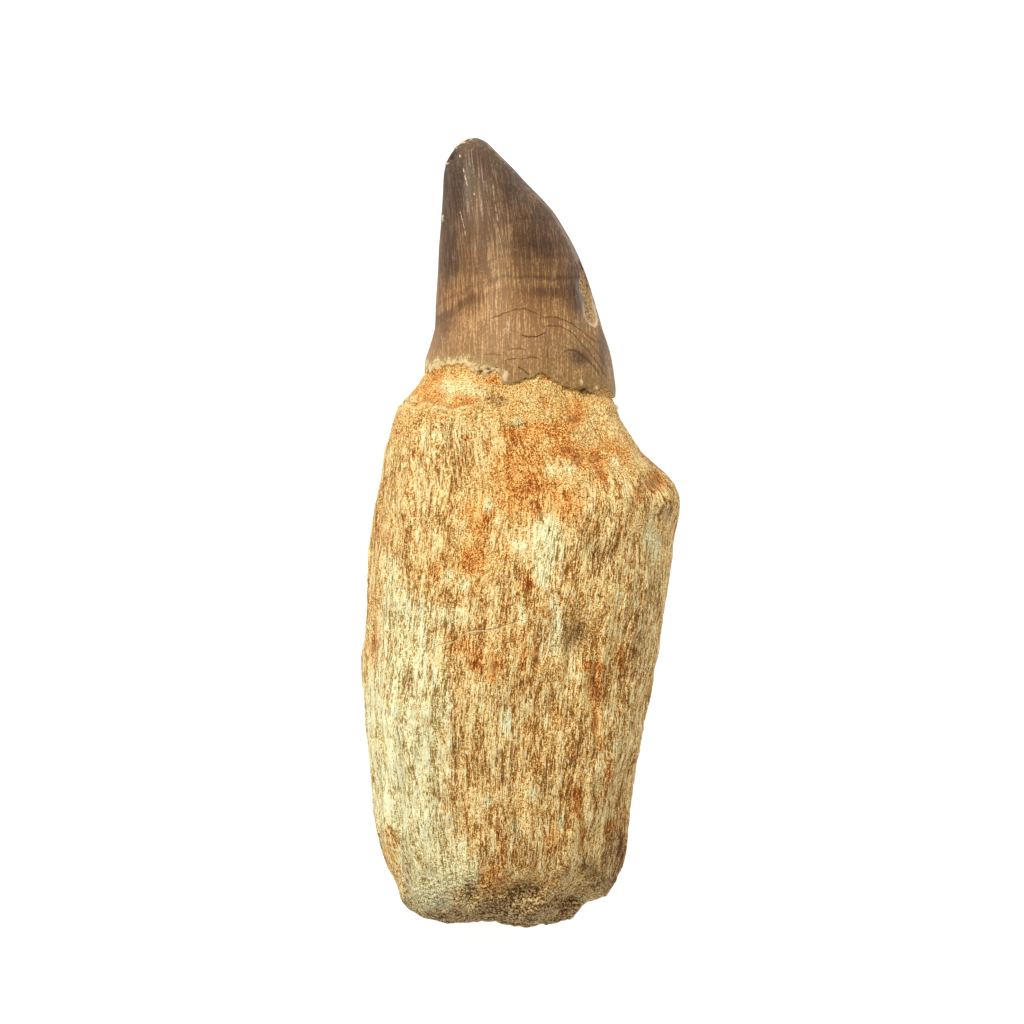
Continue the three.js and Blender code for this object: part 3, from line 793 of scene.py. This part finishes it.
def write_finish_maps(carving):
    """What the materials read at each vertex: grain, edge, hollows, chip, stains and worn spots, and the
    painted sheen, glints, highlights and shade.
    """
    front = smoothstep(-0.25, 0.25, carving.normals[:, 2])
    back = 1 - front
    places = carving.places
    patches = noise_at(places, (9.0, 16.0, 9.0), 41.0)
    stains = noise_at(places, (7.0, 13.0, 7.0), 57.0)
    maps = {
        "grain": carving.grain * MM,
        "sweep": carving.sweep * MM,
        "above_edge": carving.above_edge,
        "hollow": carving.hollow,
        "crumbly": carving.crumbly,
        "front": carving.front,
        "facing": carving.facing,
        "banding": carving.banding,
        "chip": carving.chip,
        "pale": front * spots_at(places, PALE_SPOTS) + 0.6 * back * smoothstep(0.05, 0.5, patches),
        "rust": front * spots_at(places, RUST_SPOTS) + 0.6 * back * smoothstep(0.0, 0.45, stains),
        # brown stains and painted shade
        "shade": front * spots_at(places, BROWN_AND_SHADE_SPOTS),
        # the bone's own tone, and painted light and shade
        "light": front * spots_at(places, TONE_AND_PAINTED_LIGHT_SPOTS),
        "dusky": front * spots_at(places, DUSKY_SPOTS) + 0.6 * back * smoothstep(-0.2, 0.3, stains),
        # painted sheen on the crown's front
        "sheen": front * spots_at(places, PAINTED_SHEEN_SPOTS),
        "tan": front * spots_at(places, TAN_SPOTS) + 0.5 * back * smoothstep(0.0, 0.4, patches),
        # pale flakes, and white glints painted on the crown
        "flake": front * spots_at(places, FLAKE_AND_GLINT_SPOTS),
        "pit": front * spots_at(places, PIT_SPOTS),
        # worn: the pale cutting edge, partly wear and partly a painted highlight
        "worn": abs(line_distance(places, WORN_HIGHLIGHT_EDGE)) + 3 * smoothstep(0.3, 0.05, carving.normals[:, 2]),
    }
    for name, values in maps.items():
        write_attribute(carving.mesh, name, values)


def assign_finishes(carving, bone, enamel):
    mesh = carving.mesh
    mesh.materials.clear()
    mesh.materials.append(bone)
    mesh.materials.append(enamel)
    for face in mesh.polygons:
        above = max(carving.above_edge[vertex] for vertex in face.vertices)
        face.material_index = 1 if above > 0.01 else 0
        face.use_smooth = True


# ---------------------------------------------------------------- finishes


class Ground:
    """Where a finish's marks lie: the place on the tooth, in millimetres, and what is carved there."""

    def __init__(self, wire):
        self.place = wire.node("TexCoord", None, None, 3)
        axes = [wire.node("SeparateXYZ", None, {0: self.place}, axis) for axis in range(2)]
        self.across = axes[0] / MM
        self.height = (axes[1] - float(ROOT_END[1])) / MM
        self.front = self.map("front")

    def map(self, name, vector=False):
        """What write_finish_maps has written under this name."""
        return self.place.node("Attribute", {"attribute_name": name}, None, 1 if vector else 2)


class BoneGround(Ground):
    """The same for the bone, with the noises that several of its marks share."""

    def __init__(self, wire):
        super().__init__(wire)
        self.grain = self.map("grain", vector=True)
        self.crumbs = self.place.noise((0.38, 0.44, 0.38), 2.0, 0.6) - 0.5
        self.tufts = self.grain.noise((0.7, 3.0, 0.7), 3.0, 0.6) - 0.5
        self.wobble = (self.place.noise((1.2, 1.2, 1.2), 2.0) - 0.5) * 0.5


class EnamelGround(Ground):
    """The same for the enamel, with the noises that several of its marks share."""

    def __init__(self, wire):
        super().__init__(wire)
        place = self.place
        self.wobble = place.noise((3.0, 3.0, 3.0), 2.0) - 0.5
        self.cloud = place.noise((3.5, 4.5, 3.5), 3.0) - 0.5
        self.crumbs = place.noise((0.8, 0.8, 0.8), 2.0) - 0.5
        self.grain = place.noise((0.28, 0.45, 0.28), 2.0, 0.6) - 0.5
        self.specks = place.noise((0.26, 0.32, 0.26), 2.0) - 0.5
        self.striae = self.along((0.17, 3.6, 0.8), 1.0)
        self.streaks = self.along((0.38, 9.0, 1.6), 2.0)
        self.lines = self.striae * 0.8 + self.streaks * 0.5

    def along(self, cell, detail):
        """Noise that runs along the crown: straight on its front, and with its shape elsewhere."""
        straight = self.map("sweep", vector=True).noise(cell, detail)
        width = cell[0] * GRAIN_RADIUS / CROWN_RADIUS
        bent = self.map("grain", vector=True).noise((width, cell[1], width), detail)
        return bent + (straight - bent) * self.map("facing") - 0.5


def curve_mask(position, offset, points, half_width):
    """1 on a fine line through (position, offset) points, fading at its sides and ends, and 0 off it."""
    left, right = points[0][0], points[-1][0]
    low = min(point[1] for point in points) - 0.5
    high = max(point[1] for point in points) + 0.5
    share = (position - left) / (right - left)
    shares = [((x - left) / (right - left), (y - low) / (high - low)) for x, y in points]
    course = share.curve(shares) * (high - low) + low
    reach = share.step(-0.03, 0.08) * share.step(1.03, 0.92)
    return (offset - course).size().step(half_width * 1.7, half_width * 0.5) * reach


def draw_lines(colour, lines, across, height, shown):
    """The colour with fine lines of other colours drawn over it, as strongly as shown."""
    for points, half_width, shade in lines:
        upright = abs(points[-1][1] - points[0][1]) > 1.2
        course = sorted((y, x) if upright else (x, y) for x, y in points)
        position, offset = (height, across) if upright else (across, height)
        line = curve_mask(position, offset, course, half_width)
        colour = (line * shown).blend(colour, shade)
    return colour


def flakes_glints_and_pits(colour, ground, flake_and_glint_colour, pit_colour, pit_share):
    """The pale flakes and dark pits along the enamel's edge and the worn tip, and the white glints painted
    on the crown.
    """
    # flakes, and the painted glints
    flake = (ground.map("flake") + ground.crumbs * 1.8).step(0.4, 0.8)
    colour = (flake * 0.8).blend(colour, flake_and_glint_colour)
    pit = (ground.map("pit") + ground.crumbs * 1.2).step(0.35, 0.85)
    return (pit * pit_share).blend(colour, pit_colour)


# ---------------------------------------------------------------- fibrous bone


def bone_texture(bone):
    """The bone's tone, from 0 in dark creases to 1 on pale fibres, and the height of its grain."""
    place, grain = bone.place, bone.grain
    ridges = grain.noise((0.26, 1.8, 0.26), 1.0, 0.5) - 0.5
    cords = grain.noise((0.5, 5.5, 0.5), 2.0, 0.5) - 0.5
    furrows = grain.noise((0.9, 11.0, 0.9), 2.0) - 0.5
    fibres = grain.noise((0.17, 0.7, 0.17), 1.0) - 0.5
    sand = place.noise((0.17, 0.2, 0.17), 1.0) - 0.5
    grit = place.noise((0.45, 0.52, 0.45), 1.0, 0.5) - 0.5
    drifts = grain.noise((2.0, 8.0, 2.0), 2.0) + place.noise((2.4, 3.4, 2.4), 2.0) - 1.0

    crumbly = bone.map("crumbly")
    smooth = 1 - crumbly * 0.85
    neck = bone.map("above_edge").step(-6.5, -3.0)
    coarse = bone.height.step(10.0, 5.0) * 2.0 + 1
    low = bone.height.step(62.0, 38.0)
    fine = (ridges * 1.8 + cords * 1.4 + fibres * 2.1) * (low * 0.1 + 1) * smooth
    fine = fine + furrows * low * smooth * 1.1 + sand * (2.7 - neck * 0.3)
    fine = fine + bone.crumbs * (crumbly * (1.1 - neck * 0.55) + 0.4) * coarse
    # the light map holds the bone's own tone and painted light and shade
    tone = fine + drifts * (smooth * 0.8 + 0.25) + bone.map("light") + 0.53 - bone.map("hollow") * 0.1
    relief = (ridges * 1.6 + cords * 1.2 + furrows * low) * smooth
    return tone, relief + grit * (crumbly * 1.4 + 0.3) * coarse


def bone_stains(tone, bone):
    """Ochre bone in its tones, with its rusty stains, bleached patches and brown patches; painted highlight
    and painted shade lie among the last two.
    """
    breakup = (bone.place.noise((4.0, 6.5, 4.0), 4.0, 0.65) - 0.5) * 1.3
    wisps = bone.tufts * 1.2
    rust = bone.map("rust") + breakup + wisps * 0.6
    # bleached patches, and a painted highlight down the root's left edge
    bleached = (bone.map("pale") - breakup * 0.9 + wisps).step(0.2, 0.95)
    # brown stains, and painted shade at the root's end, under the neck's flake and down its lower right
    # edge
    brown = (bone.map("shade") + breakup * 0.5 + wisps * 0.7).step(0.2, 1.1)
    colour = rust.step(0.15, 0.85).blend(tone.shades(PLAIN_BONE), tone.shades(RUSTY_BONE))
    colour = bleached.blend(colour, tone.shades(BLEACHED_BONE))
    colour = (brown * 0.9).blend(colour, tone.shades(BROWN_BONE))
    return (rust.step(0.9, 1.9) * 0.6).blend(colour, srgb(158, 84, 34))


def scar_and_lip(colour, bone):
    """The long scar across the front and the root's lip, each with the shade along it, and a painted
    highlight on the lip's edge.
    """
    across, front, tufts = bone.across, bone.front, bone.tufts
    wavy = bone.height + bone.wobble
    scar_shade = curve_mask(across, wavy - 0.22, SCAR, 0.09) * front
    colour = (scar_shade * 0.5).blend(colour, srgb(120, 84, 46))
    scar = curve_mask(across, wavy, SCAR, 0.09) * front
    colour = (scar * 0.7).blend(colour, srgb(238, 216, 164))
    ledge = across.step(*LIP_FADE) * front
    # painted shade in the hollow above the lip
    shade_above_lip = curve_mask(across, wavy - 0.45, LIP, 0.3) * ledge
    colour = (shade_above_lip * (tufts * 2.0 + 0.35)).blend(colour, srgb(190, 116, 56))
    # painted highlight: the cream upper edge of the lip
    lip = curve_mask(across, bone.height + bone.wobble * 0.6 + 0.1, LIP, 0.16) * ledge
    return (lip * (tufts * 2.0 + 0.4)).blend(colour, srgb(255, 238, 178))


def bone_crevices(colour, bone):
    """The shade under the enamel's edge, and the crevices of the root's front."""
    across, tufts = bone.across, bone.tufts
    below = bone.map("above_edge").step(-0.42, -0.05)
    under_edge = below * across.step(-2.0, 0.0) * across.step(13.5, 12.0)
    colour = (under_edge * (tufts * 2.0 + 0.5)).blend(colour, srgb(86, 52, 26))
    shake = bone.wobble * 1.4
    shown = bone.front * (tufts * 2.0 + 0.4)
    return draw_lines(colour, CREVICES, across + shake, bone.height + shake, shown)


def bone_material():
    """Fossil bone: cream fibres over ochre creases, in stained, bleached and crumbly patches."""
    material, shader, wire = new_material("fibrous_bone")
    bone = BoneGround(wire)
    tone, relief = bone_texture(bone)
    colour = bone_stains(tone, bone)
    colour = scar_and_lip(colour, bone)
    colour = bone_crevices(colour, bone)
    colour = flakes_glints_and_pits(colour, bone, srgb(248, 236, 200), srgb(84, 54, 30), 0.8)
    bump = wire.node("Bump", None, {"Strength": 1.0, "Distance": 0.36 * MM, "Height": relief})
    connect(shader, Base_Color=colour, Normal=bump)
    shader.inputs["Roughness"].default_value = 0.85
    shader.inputs["Specular IOR Level"].default_value = 0.25
    return material


# ---------------------------------------------------------------- banded enamel


def enamel_base(enamel):
    """Brown enamel, paler towards its lower edge, with dusky and tan patches and patches of painted sheen.
    """
    cloud, lines = enamel.cloud, enamel.lines
    tone = (enamel.height + enamel.wobble * 3.0 - 80.0) / 42.0
    colour = tone.ramp([(share, srgb(*shade)) for share, shade in ENAMEL_SHADES])
    for name, clouds, threads, whole_at, share, shade in ENAMEL_PATCHES:
        patch = (enamel.map(name) + cloud * clouds + lines * threads).step(0.1, whole_at)
        colour = (patch * share).blend(colour, srgb(*shade))
    return colour


def growth_bands(colour, enamel):
    """Dark bands and thin arcs round the crown, which drop towards its left side."""
    banding = enamel.map("banding")
    slope = (-3.0 - banding).most(0.0) * 0.55 - banding.step(-4.0, -7.0) * 1.2
    level = enamel.height + slope + enamel.wobble * 1.6 + enamel.crumbs * 0.8 + enamel.lines * 1.0
    share = (level - GROWTH_FROM) / GROWTH_SPAN
    sides = banding.step(-5.0, -7.5) * 0.6 + banding.step(0.5, 3.5) * 0.6 + 0.3
    arcs = share.curve(GROWTH_ARCS) * (banding.step(-6.0, -2.5) * 0.8 + 0.2)
    shades = share.curve(GROWTH_BANDS) * sides + arcs * 0.3
    colour = (shades * (enamel.streaks * 1.6 + 0.85)).blend(colour, srgb(86, 54, 30))
    return colour.lit(1.03 - arcs * 0.22)


def enamel_threads(colour, enamel):
    """Fine pale and dark threads along the crown, fainter low on it and stronger on its right."""
    broad = enamel.map("sweep", vector=True).noise((1.8, 26.0, 4.0), 2.0) - 0.5
    upper = enamel.height.step(86.0, 96.0) * 0.5 + 0.5
    threads = (enamel.striae * 3.0 + enamel.streaks * 1.8) * upper + enamel.grain * 2.2 + broad * 0.8
    threads = (threads * (enamel.across.step(-1.0, 2.5) * 0.25 + 1)).step(-0.25, 0.95)
    return threads.blend(colour.scaled((0.72, 0.67, 0.59)), colour.scaled((1.7, 1.8, 1.92)))


def enamel_cracks(enamel):
    """How deep the front's cracks are, 0 off them. Each is followed by its turn round one centre."""
    aside = enamel.across - CRACKS_CENTRE[0]
    above = enamel.height - CRACKS_CENTRE[1]
    turn = aside.math("ARCTAN2", aside, above)
    radius = (aside * aside + above * above).power(0.5) + enamel.crumbs * 0.4
    masks = []
    for points, half_width, depth in CRACKS:
        offsets = [(x - CRACKS_CENTRE[0], y - CRACKS_CENTRE[1]) for x, y in points]
        course = [(math.atan2(x, y), math.hypot(x, y)) for x, y in offsets]
        masks.append(curve_mask(turn, radius, course, half_width * 1.15) * depth)
    cracks = masks[0]
    for mask in masks[1:]:
        cracks = cracks.most(mask)
    return cracks * enamel.front * (1.0 + enamel.specks * 1.2)


def enamel_scratches(colour, enamel):
    """The fine scratches and hairlines of the enamel's front."""
    shake = enamel.crumbs * 0.5
    shown = enamel.front * (enamel.crumbs * 3.0 + 0.35)
    return draw_lines(colour, SCRATCHES, enamel.across + shake, enamel.height + shake, shown)


def enamel_edges(colour, enamel):
    """The pale line down the right cutting edge, partly wear and partly a painted highlight, and the
    mottled skin and tan crust at the lower edge.
    """
    # partly wear, partly a painted highlight along the cutting edge
    worn = enamel.map("worn") + enamel.crumbs * 1.0
    colour = (worn.step(0.7, 0.25) * 0.6).blend(colour, srgb(168, 146, 124))
    left_edge = enamel.map("above_edge") + enamel.across.step(-5.0, 0.0) * 1.8
    mottle = (left_edge + enamel.crumbs * 4.0 + enamel.cloud * 2.0).step(3.2, 0.4)
    colour = (mottle * 0.55).blend(colour, srgb(168, 142, 92))
    crust = (left_edge + enamel.crumbs * 3.5 + enamel.grain * 5.0).step(1.4, 0.2)
    crust_colour = (enamel.specks + 0.6).blend(srgb(196, 158, 98), srgb(248, 228, 172))
    return (crust * 0.85).blend(colour, crust_colour)


def chip_finish(colour, enamel, chip, chipped):
    """The chip's tan dentine, its pale rim and a painted grey sheen on the bevel beside it."""
    across, height = enamel.across, enamel.height
    dentine = (enamel.specks * 1.6 + enamel.crumbs * 0.8 + 0.6 - chip * 0.2).ramp([
        (0.0, srgb(108, 76, 42)), (0.35, srgb(164, 126, 82)), (0.65, srgb(210, 172, 122)),
        (1.0, srgb(240, 216, 170)),
    ])
    colour = chipped.blend(colour, dentine)
    outer = (across + height * 0.12 - 22.1).step(0.0, 0.3)
    rim = chip.size().step(0.34, 0.05) * height.step(96.5, 93.0).most(outer)
    colour = (rim * 0.8).blend(colour, srgb(238, 210, 178))
    # painted sheen: a greyish reflection painted on the enamel's bevel at the chip's left
    bevel = (chip + 0.3).size().step(0.35, 0.1) * height.step(99.5, 97.0) * across.step(11.0, 10.0)
    return (bevel * 0.4).blend(colour, srgb(150, 142, 134))


def enamel_material():
    """Worn brown enamel: threads along it, dark growth bands round it, cracks, and a tan chip."""
    material, shader, wire = new_material("banded_enamel")
    enamel = EnamelGround(wire)
    cracks = enamel_cracks(enamel)
    chip = enamel.map("chip") + enamel.crumbs * 0.2
    chipped = chip.step(-0.1, 0.1)

    colour = enamel_base(enamel)
    colour = growth_bands(colour, enamel)
    colour = enamel_threads(colour, enamel)
    colour = cracks.blend(colour, srgb(82, 48, 22))
    colour = enamel_scratches(colour, enamel)
    colour = enamel_edges(colour, enamel)
    colour = chip_finish(colour, enamel, chip, chipped)
    # pale flakes, and painted white glints in the same colour; dark pits
    colour = flakes_glints_and_pits(colour, enamel, srgb(236, 210, 170), srgb(66, 42, 24), 0.85)
    glints = (enamel.specks + enamel.striae * 0.6).step(0.27, 0.36)
    colour = (glints * 0.6).blend(colour, srgb(222, 204, 176))

    roughness = 0.55 + chipped * 0.3 + enamel.grain * 0.3
    relief = enamel.lines * 0.8 - cracks * 0.8 + enamel.crumbs * 0.4 + enamel.specks * chipped * 1.2
    bump = wire.node("Bump", None, {"Strength": 1.0, "Distance": 0.11 * MM, "Height": relief})
    connect(shader, Base_Color=colour, Roughness=roughness, Normal=bump)
    shader.inputs["Specular IOR Level"].default_value = 0.24
    return material


# ---------------------------------------------------------------- table, camera and lights


def table_material():
    material, shader, wire = new_material("white_table")
    place = wire.node("TexCoord", None, None, 3)
    mottle = place.noise((40.0, 40.0, 40.0), 2.0)
    colour = mottle.blend(srgb(158, 158, 158), srgb(162, 162, 162))
    connect(shader, Base_Color=colour)
    shader.inputs["Roughness"].default_value = 0.9
    shader.inputs["Specular IOR Level"].default_value = 0.1
    shader.inputs["Emission Color"].default_value = (1.0, 1.0, 1.0, 1.0)
    shader.inputs["Emission Strength"].default_value = 0.88
    return material


def add_table():
    deselect_all()
    bpy.ops.mesh.primitive_plane_add(size=4.0, location=(0, 0, 0))
    table = bpy.context.object
    table.name = "table"
    table.data.materials.append(table_material())


def add_camera():
    """Looks straight down, with the tooth's tip to the top of the picture."""
    distance = 4.0
    focus_height = 18 * MM
    view_width = 155.6 * MM
    data = bpy.data.cameras.new("camera")
    data.sensor_width = 36.0
    data.lens = data.sensor_width * distance / view_width
    data.clip_end = 20.0
    camera = bpy.data.objects.new("camera", data)
    camera.location = (-0.9 * MM, 3.15 * MM, focus_height + distance)
    bpy.context.collection.objects.link(camera)
    bpy.context.scene.camera = camera


def add_light(name, location, size, power, colour):
    """An area light that faces the tooth."""
    data = bpy.data.lights.new(name, "AREA")
    data.shape = "DISK"
    data.size = size
    data.energy = power
    data.color = colour
    lamp = bpy.data.objects.new(name, data)
    lamp.location = location
    lamp.rotation_euler = Vector(location).to_track_quat("Z", "Y").to_euler()
    bpy.context.collection.objects.link(lamp)


def light_scene():
    add_light("key", (-0.48, 0.56, 0.82), 0.4, 9.8, (1.0, 0.97, 0.91))
    add_light("fill", (0.7, 0.2, 0.8), 0.9, 2.2, (1.0, 0.97, 0.92))
    world = bpy.data.worlds.new("studio")
    world.use_nodes = True
    background = world.node_tree.nodes["Background"]
    background.inputs["Color"].default_value = (1.0, 1.0, 1.0, 1.0)
    background.inputs["Strength"].default_value = 0.36
    bpy.context.scene.world = world
    bpy.context.scene.view_settings.view_transform = "Standard"


# ---------------------------------------------------------------- the scene

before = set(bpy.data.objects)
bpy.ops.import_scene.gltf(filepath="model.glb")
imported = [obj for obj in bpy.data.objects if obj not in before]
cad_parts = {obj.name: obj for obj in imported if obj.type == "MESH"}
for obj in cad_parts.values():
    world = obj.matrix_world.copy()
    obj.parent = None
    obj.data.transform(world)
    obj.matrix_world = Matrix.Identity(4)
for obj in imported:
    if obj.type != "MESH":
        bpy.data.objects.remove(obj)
CAD_BOX = [list(corner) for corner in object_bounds()]
ROOT_END = np.array([(CAD_BOX[0][0] + CAD_BOX[1][0]) / 2, CAD_BOX[0][1], CAD_BOX[0][2]])

cast = smooth_cast(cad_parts["tooth"])
tooth = tooth_blank(cast)
carving = Carving(tooth, cast)
bpy.data.objects.remove(cast)
carve(carving)
write_finish_maps(carving)
assign_finishes(carving, bone_material(), enamel_material())

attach(tooth, "root")
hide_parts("tooth")

add_table()
add_camera()
light_scene()
